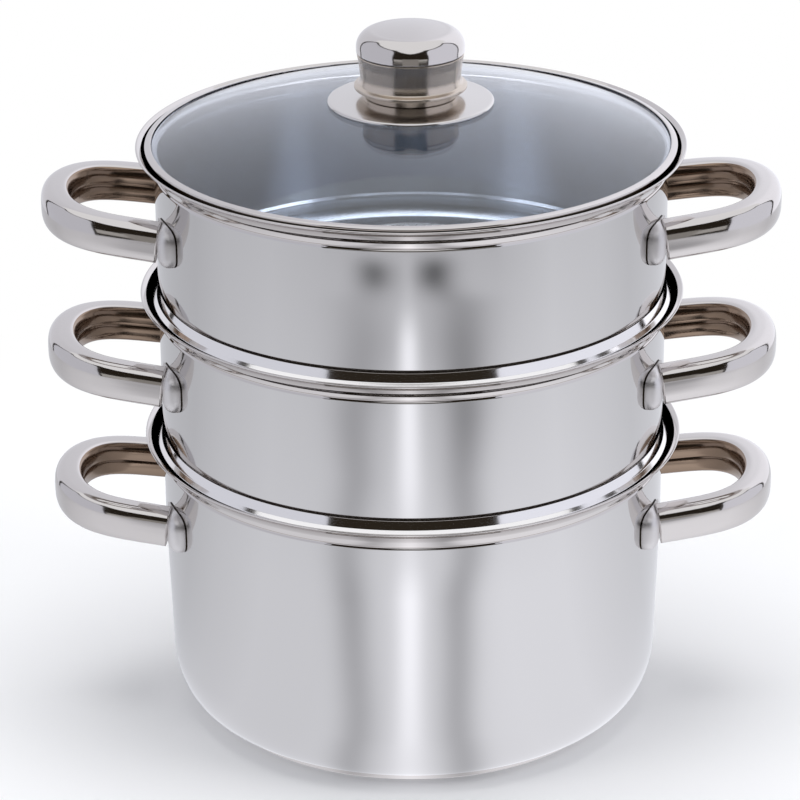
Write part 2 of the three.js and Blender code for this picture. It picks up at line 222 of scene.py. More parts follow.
# Heights and radii of the walls are in metres, and their edges in degrees of azimuth.
tent_radius = 2.2
panel_foot = -1.3
panel_top = 2.7
panel_gap = 3
corner_foot = 1.3
corner_width = 21
frame_top = panel_top + 0.3
frame_overhang = 4
curtain_edge = 35
curtain_middle_top = 1.75
curtain_power = 1.4
curtain_azimuths = np.linspace(-curtain_edge, curtain_edge, 29)
curtain_top = curtain_middle_top + (panel_top - curtain_middle_top) * (
    np.abs(curtain_azimuths) / curtain_edge) ** curtain_power
dark_glow = 0.05
dark_cloth = "#b9a690"
studio_wall("curtain", curtain_azimuths, panel_foot, curtain_top, tent_radius, dark_glow,
            dark_cloth)
studio_wall("floor_beyond", np.linspace(-curtain_edge, curtain_edge, 15), -0.3, 0.1,
            tent_radius - 0.01, 0.6, "#e4e2e0")
studio_wall("curtain_gap", np.linspace(-17, 17, 15), panel_foot, 0.25, tent_radius - 0.02, 0.42,
            "#dcd8d4")
for side, far_edge, panel_glow in ((-1, 127, 0.8), (1, 116, 1.0)):
    hand = "right" if side > 0 else "left"
    edges = np.linspace(curtain_edge + panel_gap, far_edge, 65)
    corner = np.clip((curtain_edge + panel_gap + corner_width - edges) / corner_width, 0, 1)
    panel_tops = corner_foot + (panel_top - corner_foot) * np.sqrt(1 - corner ** 2)
    studio_wall(f"panel_frame_{hand}",
                side * np.linspace(curtain_edge, far_edge + frame_overhang, 33),
                panel_foot, frame_top, tent_radius + 0.02, dark_glow, dark_cloth)
    studio_wall(f"soft_panel_{hand}", side * edges, panel_foot, panel_tops, tent_radius,
                panel_glow, "#f0f3ff")

back_azimuths = np.linspace(116, 233, 60)
back_glow = np.interp(back_azimuths, [150, 165, 180, 195], [1.3, 1.25, 0.96, 0.9])
studio_wall("back_wall", back_azimuths, panel_foot, panel_top, tent_radius + 0.1, back_glow,
            "#f4f6ff")

# A glowing striped card just above the table round the pot, seen only in gloss, paints the
# soft stripes reflected in the wall. At each reach it has two grey stripes, 1 - depth
# exp(-((a - middle)/width)^2), and a bright middle, over a level that falls off to the sides.
stripe_reach = np.array([0.115, 0.17, 0.23, 0.31, 0.36, 0.45, 0.53, 0.65, 0.71, 0.73, 0.75,
                         0.77, 0.785, 0.80, 2.1])
left_middle = -np.array([17, 17.5, 21, 23.5, 26, 22, 23.5, 19, 20, 16, 15, 15, 16, 18, 18])
right_middle = np.array([13, 13.5, 15.5, 16.5, 21, 19.5, 21, 20, 20, 12, 9, 9, 9, 9, 9])
left_depth = np.array([0.35, 0.35, 0.36, 0.4, 0.3, 0.32, 0.33, 0.26, 0.16, 0.2, 0.5, 0.58,
                       0.3, 0.0, 0.0])
right_depth = np.array([0.42, 0.42, 0.43, 0.47, 0.4, 0.42, 0.52, 0.42, 0.3, 0.3, 0.56, 0.66,
                        0.45, 0.04, 0.0])
stripe_width = np.array([6.0, 6.5, 7.0, 7.5, 8.0, 8.5, 9.5, 12, 12, 9, 8, 8, 8, 8, 8])
middle_glow = np.array([0.3, 0.4, 0.5, 0.55, 0.2, 0.5, 0.6, 0.65, 0.12, 0.1, 0.1, 0.1, 0.1,
                        0.0, 0.0])
middle_width = np.array([5.0, 4.5, 4.5, 5.0, 5.0, 5.0, 4.5, 4.0, 4.0, 3.0, 3.0, 3.0, 3.0, 3.0,
                         3.0])
middle_azimuth = -1.5
card_height = 0.4 * MM
reach = np.concatenate([[0.05], np.linspace(0.115, 0.6, 24), np.linspace(0.61, 0.83, 37)])
azimuths = np.linspace(-180, 180, 361)
rows = {name: np.interp(reach, stripe_reach, values)[:, None] for name, values in (
    ("left", left_middle), ("right", right_middle), ("left_depth", left_depth),
    ("right_depth", right_depth), ("width", stripe_width), ("glow", middle_glow),
    ("middle_width", middle_width))}
side_azimuth = [-180, -150, -105, -85, -60, -35, 0, 35, 60, 85, 105, 150, 180]
near_level = np.interp(azimuths, side_azimuth,
                       [0.8, 0.73, 0.76, 0.89, 1.0, 1.0, 1.1, 1.2, 1.19, 1.05, 0.94, 0.9, 0.8])
far_level = np.interp(azimuths, side_azimuth,
                      [0.8, 0.72, 0.7, 0.8, 0.84, 0.78, 0.78, 0.78, 0.94, 0.91, 0.8, 0.88, 0.8])
farness = np.interp(reach, [0.3, 0.78], [0, 1])[:, None]
shade = (near_level * (1 - farness) + far_level * farness
         - rows["left_depth"] * np.exp(-((azimuths - rows["left"]) / rows["width"]) ** 2)
         - rows["right_depth"] * np.exp(-((azimuths - rows["right"]) / rows["width"]) ** 2)
         + rows["glow"] * np.exp(-((azimuths - middle_azimuth) / rows["middle_width"]) ** 2))
points = np.stack([reach[:, None] * np.sin(np.radians(azimuths)),
                   -reach[:, None] * np.cos(np.radians(azimuths)),
                   card_height + 0 * shade], axis=-1).reshape(-1, 3)
stripe_reflection_card = mesh_object("painted_reflection_card", points, grid_faces(len(reach), len(azimuths)).tolist())
stripe_reflection_glow, tree = new_material("stripe_reflection_glow")
finish_material(tree, add_node(tree, "ShaderNodeEmission", values={"Color": linear("#f4f6fd")},
                               links={"Strength": stored_levels(stripe_reflection_card, tree,
                                                                shade.ravel())}))
stripe_reflection_card.data.materials.append(stripe_reflection_glow)
# Hidden from the camera, diffuse light and shadow: it glows only as a painted reflection.
stripe_reflection_card.visible_camera = stripe_reflection_card.visible_diffuse = stripe_reflection_card.visible_shadow = False

# Three round soft lamps, above and at each side, draw the shadow and don't show in the steel.
for name, place, size, power in (("lamp_top", (0, 0.2, 2.2), 1.8, 26),
                                 ("lamp_left", (-1.9, -0.9, 1.4), 1.3, 12),
                                 ("lamp_right", (1.9, -0.7, 1.5), 1.3, 15)):
    lamp_data = bpy.data.lights.new(name, "AREA")
    lamp_data.shape = "DISK"
    lamp_data.size = size
    lamp_data.energy = power
    lamp = bpy.data.objects.new(name, lamp_data)
    lamp.location = place
    lamp.rotation_euler = (view_target - Vector(place)).to_track_quat("-Z", "Y").to_euler()
    lamp.visible_glossy = False
    bpy.context.scene.collection.objects.link(lamp)


# Pot body: stainless steel sheet, deep drawn to a flat floor, a rounded corner and a wall
# that widens a little, then spun to a crease, a hollow flare and a lip. Satin outside.
sheet = 0.9
body_radius = 113.0
crease_depth = 0.4
crease_width = 1.8
crease_holds = (0.8, 0.3)
flare_width = 7.7
flare_height = 8.3
flare_start_tilt = math.radians(25)
floor_radius = 97.0
corner_height = 25.7
wall_foot_radius = 111.2
taper_top = 90.0
taper_steps = np.array([[-0.6, -22.0], [-0.05, 0.0], [0.0, 6.0]])
base_height = 4.3
pot_rim_height = 130.8
lip_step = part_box("pot_body")[1].z / MM - pot_rim_height
rim_heights = [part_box(node)[1].z / MM - lip_step
               for node in ("pot_body", "lower_steamer_body", "upper_steamer_body")]
round_sides = 288
edge_steps = 5


def arc_points(centre, radius, start, end, steps):
    """Points on an arc: centre + radius (cos t, sin t), with t from start to end."""
    t = np.linspace(start, end, steps + 1)
    return np.stack([centre[0] + radius * np.cos(t), centre[1] + radius * np.sin(t)], axis=1)


def filleted(corners, steps=6, hold=0.1):
    """A line of [radius, height] corners, each rounded by the third value, its fillet radius r.
    An arc that meets both sides r tan(turn/2) from the corner takes the corner's place, with
    a holding point just before it and just after it."""
    corners = np.array(corners, float)
    line = [corners[0, :2]]
    for before, (x, z, fillet), after in zip(corners[:-2], corners[1:-1], corners[2:]):
        corner = np.array([x, z])
        into = corner - before[:2]
        out = after[:2] - corner
        into = into / np.hypot(*into)
        out = out / np.hypot(*out)
        bend = math.atan2(into[0] * out[1] - into[1] * out[0], into @ out)
        if fillet == 0 or abs(bend) < 1e-4:
            line.append(corner)
            continue
        reach = fillet * math.tan(abs(bend) / 2)
        side = math.copysign(1, bend)
        centre = corner - into * reach + side * fillet * np.array([-into[1], into[0]])
        start = math.atan2(*(corner - into * reach - centre)[::-1])
        arc = arc_points(centre, fillet, start, start + bend, steps)
        line.extend([arc[0] - into * hold, *arc, arc[-1] + out * hold])
    line.append(corners[-1, :2])
    return np.array(line)


def sheet_loop(line, thickness):
    """A closed section of even thickness: the line, a half-round edge, and the line moved to
    its left by the thickness. The line starts on the axis or at another half-round edge."""
    along = np.gradient(line, axis=0)
    along /= np.hypot(along[:, 0], along[:, 1])[:, None]
    left = np.stack([-along[:, 1], along[:, 0]], axis=1)
    inner = line + left * thickness

    def edge(k, heading):
        """The half circle from line[k] to inner[k], without its ends."""
        middle = (line[k] + inner[k]) / 2
        start = math.atan2(-left[k, 1], -left[k, 0])
        points = arc_points(middle, thickness / 2, start, start + heading * math.pi, edge_steps)
        return points[1:-1]

    loop = [line, edge(-1, 1), inner[::-1]]
    if line[0, 0] > 0:
        loop.append(edge(0, -1)[::-1])
    return np.concatenate(loop)


def turned(name, section, sides=round_sides):
    """A section of [radius, height] points in millimetres turned about Z: (r cos a, r sin a, z).
    A section that starts and ends on the axis closes in a pole there, any other on itself."""
    section = np.array(section) * MM
    a = np.linspace(0, 2 * math.pi, sides, endpoint=False)
    poles = abs(section[0, 0]) < 1e-9
    rings = section[1:-1] if poles else section
    points = np.stack([rings[:, :1] * np.cos(a), rings[:, :1] * np.sin(a),
                       np.repeat(rings[:, 1:], sides, axis=1)], axis=-1).reshape(-1, 3)
    faces = grid_faces(len(rings), sides, row_loop=not poles, column_loop=True).tolist()
    if poles:
        first, last = len(points), len(points) + 1
        points = np.concatenate([points, [[0, 0, section[0, 1]], [0, 0, section[-1, 1]]]])
        k = np.arange(sides)
        after = (k + 1) % sides
        end = (len(rings) - 1) * sides
        faces += np.stack([np.full(sides, first), after, k], axis=1).tolist()
        faces += np.stack([np.full(sides, last), end + k, end + after], axis=1).tolist()
    return mesh_object(name, points, faces)


def flare_line(rim_height):
    """The rim that the tiers share: a shallow crease, depth (1 - cos 2 pi t)/2, then an arc that
    starts 25 degrees off upright at the body and ends at the lip."""
    foot = rim_height - flare_height
    sweep = 2 * (math.atan2(flare_width, flare_height) - flare_start_tilt)
    radius = math.hypot(flare_width, flare_height) / (2 * math.sin(sweep / 2))
    centre = (body_radius + radius * math.cos(flare_start_tilt),
              foot - radius * math.sin(flare_start_tilt))
    start = math.pi - flare_start_tilt
    flare = arc_points(centre, radius, start, start - sweep, 24)
    t = np.linspace(0, 1, 12, endpoint=False)
    crease = np.stack([body_radius - crease_depth * (1 - np.cos(2 * math.pi * t)) / 2,
                       foot - crease_width * (1 - t)], axis=1)
    held = [[body_radius, foot - crease_width - step] for step in crease_holds]
    return np.concatenate([held, crease, flare])


# Stainless steel, 18/10, as it leaves the lathe: fine rings run round every piece. The eye
# sees reflections that smear a little up and down the wall and stay sharper across it.
def steel(name, colour, roughness, anisotropy, ring_spacing, ring_depth, edge_tint="#ffffff"):
    """A metal with fine turned rings: noise over radius and height, which hardly changes
    round the axis, gives the rings' depth, and broad patches a slight change of gloss. The
    rings' spacing and depth are in millimetres, the spacing coarser than real to show."""
    material, tree = new_material(name)
    place = add_node(tree, "ShaderNodeTexCoord")
    parts = add_node(tree, "ShaderNodeSeparateXYZ", links={0: place.outputs["Object"]})
    flat = add_node(tree, "ShaderNodeCombineXYZ", links={0: parts.outputs[0], 1: parts.outputs[1]})
    radius = add_node(tree, "ShaderNodeVectorMath", operation="LENGTH", links={0: flat.outputs[0]})
    across = add_node(tree, "ShaderNodeCombineXYZ", links={
        0: radius.outputs["Value"], 1: parts.outputs[2]})
    rings = add_node(tree, "ShaderNodeTexNoise", noise_dimensions="2D", values={
        "Scale": 1 / (ring_spacing * MM), "Detail": 3, "Roughness": 0.65},
        links={"Vector": across.outputs[0]})
    clouds = add_node(tree, "ShaderNodeTexNoise", values={"Scale": 30, "Detail": 2},
                      links={"Vector": place.outputs["Object"]})
    gloss = add_node(tree, "ShaderNodeMapRange", values={
        "From Min": 0.3, "From Max": 0.7, "To Min": roughness * 0.9, "To Max": roughness * 1.1},
        links={"Value": clouds.outputs[0]})
    bump = add_node(tree, "ShaderNodeBump", values={"Strength": 0.3, "Distance": ring_depth * MM},
                    links={"Height": rings.outputs[0]})
    around = add_node(tree, "ShaderNodeTangent", direction_type="RADIAL", axis="Z")
    metal = add_node(tree, "ShaderNodeBsdfPrincipled", values={
        "Base Color": linear(colour), "Metallic": 1, "Anisotropic": anisotropy,
        "Anisotropic Rotation": 0.25, "Specular Tint": linear(edge_tint)},
        links={"Roughness": gloss.outputs[0], "Normal": bump.outputs[0],
               "Tangent": around.outputs[0]})
    finish_material(tree, metal)
    return material


# The outer wall, satin under a last buff: soft stripes, and the outlines of what stands near.
satin_steel = steel("satin_stainless", "#cfcdcc", 0.05, 0.2, 0.6, 0.0006)
# Rims, bands and skirts, mirror polished: bright, with sharp dark lines.
polished_steel = steel("polished_stainless", "#d0cbc8", 0.04, 0.0, 0.5, 0.0003)
# The inside, turned coarser and left unbuffed: broad blurred sheens, on a blue-grey colour
# darkened as painted shade inside the pot.
shaded_inner_steel = steel("painted_shade_inner_stainless", "#b4b8be", 0.19, 0.9, 1.6, 0.002)
# The cone at a tier's foot, burnished by the roller that forms it: a softer mirror, whiter in
# colour as a painted highlight for the bright band it shows.
lit_cone_steel = steel("painted_highlight_cone_stainless", "#efecea", 0.09, 0.0, 0.5, 0.0003)
# Inside the flare, never buffed: a faint sheen on a near-black colour, painted shade for the dark
# crescents between the tiers.
flare_shade_steel = steel("painted_shade_flare_stainless", "#2e2a26", 0.12, 0.3, 0.8, 0.001, "#4a4640")
satin, polished, inner, flare_shade, lit_cone = range(5)
flare_shade_share = 0.97


def finish_by_height(piece, polished_above, line_count, lit_cone_between=None):
    """Gives each face its finish. Outside it is satin up to the crease, polished above it, and a
    lighter steel, a painted highlight, between the two heights given.
    Inside it is turned steel darkened as painted shade, and near black where it flares, also
    painted shade."""
    mesh = piece.data
    for finish in (satin_steel, polished_steel, shaded_inner_steel, flare_shade_steel, lit_cone_steel):
        mesh.materials.append(finish)
    centres = np.zeros(len(mesh.polygons) * 3)
    mesh.polygons.foreach_get("center", centres)
    z = centres.reshape(-1, 3)[:, 2] / MM
    index = np.where(z > polished_above, polished, satin)
    if lit_cone_between:
        index = np.where((z > lit_cone_between[0]) & (z < lit_cone_between[1]), lit_cone, index)
    ring = np.arange(len(mesh.polygons)) // round_sides
    inside = ring > line_count + edge_steps - 2
    flare_foot = polished_above + crease_width
    # Inside the flare: the near-black steel, painted shade.
    index = np.where(inside & (z < flare_foot + flare_height * flare_shade_share), flare_shade, index)
    # Inside below the flare: the darkened inner steel, painted shade.
    index = np.where(inside & (z < flare_foot), inner, index)
    mesh.polygons.foreach_set("material_index", index.astype(np.int32))


quarter = np.linspace(0, math.pi / 2, 24)
pot_corner = np.stack([floor_radius + (wall_foot_radius - floor_radius) * np.sin(quarter),
                       base_height + corner_height * (1 - np.cos(quarter))], axis=1)
pot_line = np.concatenate([
    [[0, base_height], [floor_radius / 2, base_height], [floor_radius - 1, base_height]],
    pot_corner,
    taper_steps + [body_radius, taper_top],
    flare_line(rim_heights[0])])
pot = turned("pot_shell", sheet_loop(pot_line, sheet))
finish_by_height(pot, rim_heights[0] - flare_height - crease_width, len(pot_line))
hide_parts("pot_body")
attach(pot, "pot")


# Encapsulated base: a steel cap pressed round an aluminium disc and brazed to the floor.
# Only its polished rim and turned underside show.
base_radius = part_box("pot_base_cap")[1].x / MM
cap_sheet = 0.8
cap_round = 1.1
braze_gap = 0.3
cap_line = filleted([[0, 0, 0], [base_radius, 0, cap_round],
                     [base_radius, base_height - braze_gap, 0]])
base_cap = turned("base_shoe", sheet_loop(cap_line, cap_sheet))
base_cap.data.materials.append(polished_steel)
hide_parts("pot_base_cap")
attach(base_cap, "pot")

# Rolled aluminium plate: dull and grey, with a fine grain.
rolled_aluminium, tree = new_material("rolled_aluminium")
grain = add_node(tree, "ShaderNodeTexNoise", values={"Scale": 900, "Detail": 2})
dull = add_node(tree, "ShaderNodeMapRange", values={"To Min": 0.4, "To Max": 0.55},
                links={"Value": grain.outputs[0]})
finish_material(tree, add_node(tree, "ShaderNodeBsdfPrincipled", values={
    "Base Color": linear("#b9bbbd"), "Metallic": 1}, links={"Roughness": dull.outputs[0]}))
core_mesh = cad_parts["pot_base_core"].data
core_mesh.materials.clear()
core_mesh.materials.append(rolled_aluminium)


# Steamer tiers: the same drawn sheet, rolled at the foot to a groove, a steep bright cone and
# a seat that rests in the rim below. A narrow skirt drops inside that rim and ends in a floor
# punched with holes.
skirt_radius = 109.8
skirt_top = 7.0
skirt_hold = 0.4
skirt_fillet = 1.2
seat_radius = 116.0
seat_drop = 2.2
seat_fillet = 0.6
cone_radius = 113.7
cone_drop = 0.5
groove_radius = 111.9
groove_lift = 3.2
groove_fillet = 0.7
wall_end = 4.8
wall_fillet = 1.0
wall_hold = 2
floor_drop = 14.48
floor_round = 4.5
floor_disc_radius = 103.0
hole_diameter = 7.5
hole_sides = 32
hole_ring_pitch = 22.0
hole_ring_count = 4
holes_per_ring_step = 4


def steamer_line(rim_below, rim_height):
    """Outer line of a tier, from the edge of its floor disc to its lip: up the skirt, out to
    the seat, up a steep cone to a groove, and out to the wall."""
    floor_height = rim_below - floor_drop
    corner = arc_points((skirt_radius - floor_round, floor_height + floor_round), floor_round,
                        -math.pi / 2, 0, 10)
    step = filleted([[skirt_radius, floor_height + floor_round + skirt_hold, 0],
                     [skirt_radius, rim_below - skirt_top, skirt_fillet],
                     [seat_radius, rim_below - seat_drop, seat_fillet],
                     [cone_radius, rim_below - cone_drop, seat_fillet],
                     [groove_radius, rim_below + groove_lift, groove_fillet],
                     [body_radius, rim_below + wall_end, wall_fillet],
                     [body_radius, rim_below + wall_end + wall_hold, 0]])
    return np.concatenate([[[floor_disc_radius, floor_height]], corner, step,
                           flare_line(rim_height)]), floor_height


def punched_floor(name, floor_height):
    """A flat disc with round holes on rings: ring k has 4k holes at radius 22k mm. It is a
    filled flat curve, given the sheet's thickness and made a mesh."""
    curve = bpy.data.curves.new(name, "CURVE")
    curve.dimensions = "2D"
    curve.fill_mode = "BOTH"
    curve.extrude = sheet / 2 * MM
    circles = [(0, 0, floor_disc_radius, round_sides), (0, 0, hole_diameter / 2, hole_sides)]
    for ring in range(1, hole_ring_count + 1):
        count = ring * holes_per_ring_step
        for i in range(count):
            a = 2 * math.pi * (i + (ring % 2) / 2) / count
            circles.append((ring * hole_ring_pitch * math.cos(a),
                            ring * hole_ring_pitch * math.sin(a), hole_diameter / 2, hole_sides))
    for x, y, radius, sides in circles:
        t = np.linspace(0, 2 * math.pi, sides, endpoint=False)
        spline = curve.splines.new("POLY")
        spline.points.add(sides - 1)
        spline.points.foreach_set("co", np.stack([
            (x + radius * np.cos(t)) * MM, (y + radius * np.sin(t)) * MM,
            0 * t, 1 + 0 * t], axis=1).ravel())
        spline.use_cyclic_u = True
    flat = bpy.data.objects.new(name + "_outline", curve)
    bpy.context.scene.collection.objects.link(flat)
    bpy.context.view_layer.update()
    mesh = bpy.data.meshes.new_from_object(flat.evaluated_get(
        bpy.context.evaluated_depsgraph_get()))
    bpy.data.objects.remove(flat)
    mesh.transform(Matrix.Translation((0, 0, (floor_height + sheet / 2) * MM)))
    mesh.materials.clear()
    mesh.materials.append(shaded_inner_steel)
    disc = bpy.data.objects.new(name, mesh)
    bpy.context.scene.collection.objects.link(disc)
    return disc


for tier, below, rim in (("lower_steamer", rim_heights[0], rim_heights[1]),
                         ("upper_steamer", rim_heights[1], rim_heights[2])):
    line, floor_height = steamer_line(below, rim)
    shell = turned(f"{tier}_shell", sheet_loop(line, sheet))
    # Between the floor and the wall's end the cone gets the whiter steel: a painted highlight.
    finish_by_height(shell, rim - flare_height - crease_width, len(line),
                     (floor_height, below + wall_end))
    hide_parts(f"{tier}_body")
    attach(shell, tier)
    disc = punched_floor(f"{tier}_floor", floor_height)
    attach(disc, tier)


# Handles: two to a tier, oval steel tube pressed from sheet and closed by a seam along its
# inner side, bent to a D and buffed bright, then welded to a rounded foot at each end.
handle_drop = 33.0
handle_reach = 43.9
handle_spread = 37.8
handle_rise = 6.8
tube_width = 13.0
tube_height = 17.0
tube_sides = 120
outer_power = 0.62
inner_power = 0.5
path_fullness = 4.5
path_rings = 161
leg_toe_in = 0.1
seam_depth = 0.4
seam_width = 0.7
ridge_depth = 0.12
ridge_spacing = 8.0
flank_share = 0.36
shade_side = 0.35
shade_share = 0.49
foot_width = 25.6
foot_height = 18.2
foot_depth = 12
foot_fullness = 3.6
foot_round = 4.8
foot_rim = 1.5
foot_sides = 72
foot_centre = 38.3
foot_inset = 3.5
foot_face = body_radius - foot_inset
weld_width = 1.0


def plain_steel(name, colour, roughness):
    """Steel that was never on the lathe: no rings, and only a faint change of gloss, left by
    the buffing wheel or the blasting."""
    material, tree = new_material(name)
    place = add_node(tree, "ShaderNodeTexCoord")
    buff = add_node(tree, "ShaderNodeTexNoise", values={"Scale": 60, "Detail": 4},
                    links={"Vector": place.outputs["Object"]})
    gloss = add_node(tree, "ShaderNodeMapRange", values={
        "From Min": 0.3, "From Max": 0.7, "To Min": roughness * 0.8, "To Max": roughness * 1.25},
        links={"Value": buff.outputs[0]})
    finish_material(tree, add_node(tree, "ShaderNodeBsdfPrincipled", values={
        "Base Color": linear(colour), "Metallic": 1}, links={"Roughness": gloss.outputs[0]}))
    return material


# The tube, buffed on a wheel: a mirror with slightly soft edges.
buffed_steel = plain_steel("buffed_stainless", "#d0cbc8", 0.09)
# Its inner side, which the wheel doesn't reach: silky, and brown as painted shade and painted
# reflection of the dark curtain.
shaded_tube_side_steel = plain_steel("painted_shade_tube_side_stainless", "#94806f", 0.17)
# The feet, bead blasted: pale, with one soft light on them.
blasted_steel = plain_steel("blasted_stainless", "#d9d6d5", 0.45)
# The weld groove round a foot: a fine dark line, painted shade in the groove.
groove_shade_steel = plain_steel("painted_shade_weld_groove", "#3a322b", 0.3)


def superellipse(t, power):
    """A rounded square of half width 1: (sgn cos t |cos t|^p, sgn sin t |sin t|^p)."""
    return (np.sign(np.cos(t)) * np.abs(np.cos(t)) ** power,
            np.sign(np.sin(t)) * np.abs(np.sin(t)) ** power)


def closed_tube(name, rings, side):
    """A tube through rings of points, an (n, m, 3) array in millimetres, with a flat face at
    each end. A side of -1 turns it half a turn about Z, to the left of the pot."""
    count, sides = rings.shape[:2]
    points = rings.reshape(-1, 3) * MM
    points[:, :2] *= side
    faces = grid_faces(count, sides, column_loop=True).tolist()
    faces.append(list(range(sides))[::-1])
    faces.append([(count - 1) * sides + k for k in range(sides)])
    return mesh_object(name, points, [face[::-1] for face in faces])


def handle_tube(name, rim_height, side):
    """Oval tube along a D: with q from -90 to 90 degrees, out = |cos q|^(2/4.5) of the reach
    and across = sin q (1 - 0.1 out) of the spread. The section is a superellipse, fuller on
    the inner side, which has a seam exp(-(z/w)^2) and faint ridges cos(2 pi z/spacing)."""
    q = np.linspace(-math.pi / 2, math.pi / 2, 721)
    out = np.cos(q).clip(0) ** (2 / path_fullness)
    across = np.sin(q) * (1 - leg_toe_in * out)
    line = np.stack([foot_face + (handle_reach + foot_inset) * out, handle_spread * across,
                     rim_height - handle_drop + handle_rise * out], axis=1)
    length = np.concatenate([[0], np.cumsum(np.linalg.norm(np.diff(line, axis=0), axis=1))])
    even = np.linspace(0, length[-1], path_rings)
    path = np.stack([np.interp(even, length, line[:, k]) for k in range(3)], axis=1)
    along = np.gradient(path, axis=0)
    along /= np.linalg.norm(along, axis=1)[:, None]
    outward = np.cross(along, [0, 0, 1.0])
    outward /= np.linalg.norm(outward, axis=1)[:, None]
    upward = np.cross(outward, along)
    t = np.linspace(0, 2 * math.pi, 4001)
    wide, tall = superellipse(t, np.where(np.cos(t) > 0, outer_power, inner_power))
    wide = wide * tube_width / 2
    tall = tall * tube_height / 2
    girth = np.concatenate([[0], np.cumsum(np.hypot(np.diff(wide), np.diff(tall)))])
    steps = np.linspace(0, girth[-1], tube_sides + 1)[:-1]
    wide = np.interp(steps, girth, wide)
    tall = np.interp(steps, girth, tall)
    flank = (wide < 0) * np.exp(-(tall / (flank_share * tube_height)) ** 6)
    wide = wide + flank * (seam_depth * np.exp(-(tall / seam_width) ** 2)
                           + ridge_depth * np.cos(2 * math.pi * tall / ridge_spacing))
    rings = (path[:, None, :] + outward[:, None, :] * wide[None, :, None]
             + upward[:, None, :] * tall[None, :, None])
    tube = closed_tube(name, rings, side)
    tube.data.materials.append(buffed_steel)
    tube.data.materials.append(shaded_tube_side_steel)
    # The tube's inner side gets the brown steel: painted shade and reflection.
    inner_side = (wide < -shade_side * tube_width) & (np.abs(tall) < shade_share * tube_height)
    index = np.concatenate([np.tile(inner_side, path_rings - 1), [False, False]])
    tube.data.polygons.foreach_set("material_index", index.astype(np.int32))
    return tube


def handle_foot(name, rim_height, side, way):
    """Pillow: a superellipse swept back from a flat face, whose edge is rounded by a quarter
    circle, to the wall, x = sqrt(R^2 - y^2), where the weld leaves a fine groove, painted dark as
    shade."""
    t = np.linspace(0, 2 * math.pi, foot_sides, endpoint=False)
    y, z = superellipse(t, 2 / foot_fullness)
    q = np.linspace(0, math.pi / 2, 13)
    inset = np.concatenate([[foot_round + foot_rim], foot_round * (1 - np.sin(q)),
                            [0, weld_width]])
    depth = np.concatenate([[0], foot_round * (1 - np.cos(q)), [foot_depth, foot_depth]])
    rings = np.stack([
        np.broadcast_to((foot_face - depth)[:, None], (len(depth), foot_sides)),
        way * foot_centre + (foot_width / 2 - inset)[:, None] * y,
        rim_height - handle_drop + (foot_height / 2 - inset)[:, None] * z], axis=-1)
    wall_face = np.sqrt((body_radius - sheet / 2) ** 2 - rings[..., 1] ** 2)
    wall_face[:-1] += weld_width
    rings[..., 0] = np.maximum(rings[..., 0], wall_face)
    block = closed_tube(name, rings, side)
    block.data.materials.append(blasted_steel)
    block.data.materials.append(groove_shade_steel)
    index = np.zeros(len(block.data.polygons), np.int32)
    # The ring in the groove gets the dark steel: painted shade.
    index[(len(depth) - 2) * foot_sides:(len(depth) - 1) * foot_sides] = 1
    block.data.polygons.foreach_set("material_index", index)
    return block


for tier, rim in zip(("pot", "lower_steamer", "upper_steamer"), rim_heights):
    for hand, side in (("right", 1), ("left", -1)):
        tube = handle_tube(f"{tier}_loop_{hand}", rim, side)
        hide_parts(f"{tier}_handle_{hand}")
        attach(tube, tier)
        for place, way in (("front", -side), ("back", side)):
            block = handle_foot(f"{tier}_pad_{hand}_{place}", rim, side, way)
            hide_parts(f"{tier}_foot_{hand}_{place}")
            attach(block, tier)


# Lid glass: a pressed and toughened dome of even thickness with a ground edge and a drilled
# hole. Soda-lime glass, which is faintly blue-grey and picks up long reflections.
band_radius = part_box("lid_band")[1].x / MM
glass_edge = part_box("lid_glass")[1].x / MM
glass_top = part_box("lid_glass")[1].z / MM
glass_rise = 20.2
glass_thickness = 3.0
ground_width = 0.7 * glass_thickness
glass_hole = 4.5
glass_sphere = (glass_edge ** 2 + glass_rise ** 2) / (2 * glass_rise)
dome_rings = 60


def dome_height(radius, offset=0.0):
    """Height of the dome's outer face, or of one that lies the offset inside it:
    z = centre + sqrt((R - offset)^2 - r^2)."""
    centre = glass_top - glass_sphere
    return centre + np.sqrt((glass_sphere - offset) ** 2 - np.asarray(radius) ** 2)


top_radii = np.linspace(glass_edge, glass_hole, dome_rings)
under_radii = np.linspace(glass_hole, glass_edge - ground_width, dome_rings)
glass_section = np.concatenate([
    np.stack([under_radii, dome_height(under_radii, glass_thickness)], axis=1),
    [[glass_edge, dome_height(glass_edge) - (glass_thickness - ground_width)]],
    np.stack([top_radii, dome_height(top_radii)], axis=1)])
glass = turned("lid_dome", glass_section)
soda_lime_glass, tree = new_material("soda_lime_glass")
clear = add_node(tree, "ShaderNodeBsdfPrincipled", values={
    "Base Color": linear("#eef3fa"), "Roughness": 0.0, "IOR": 1.5, "Transmission Weight": 1})
finish_material(tree, clear)
glass.data.materials.append(soda_lime_glass)
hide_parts("lid_glass")
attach(glass, "lid")


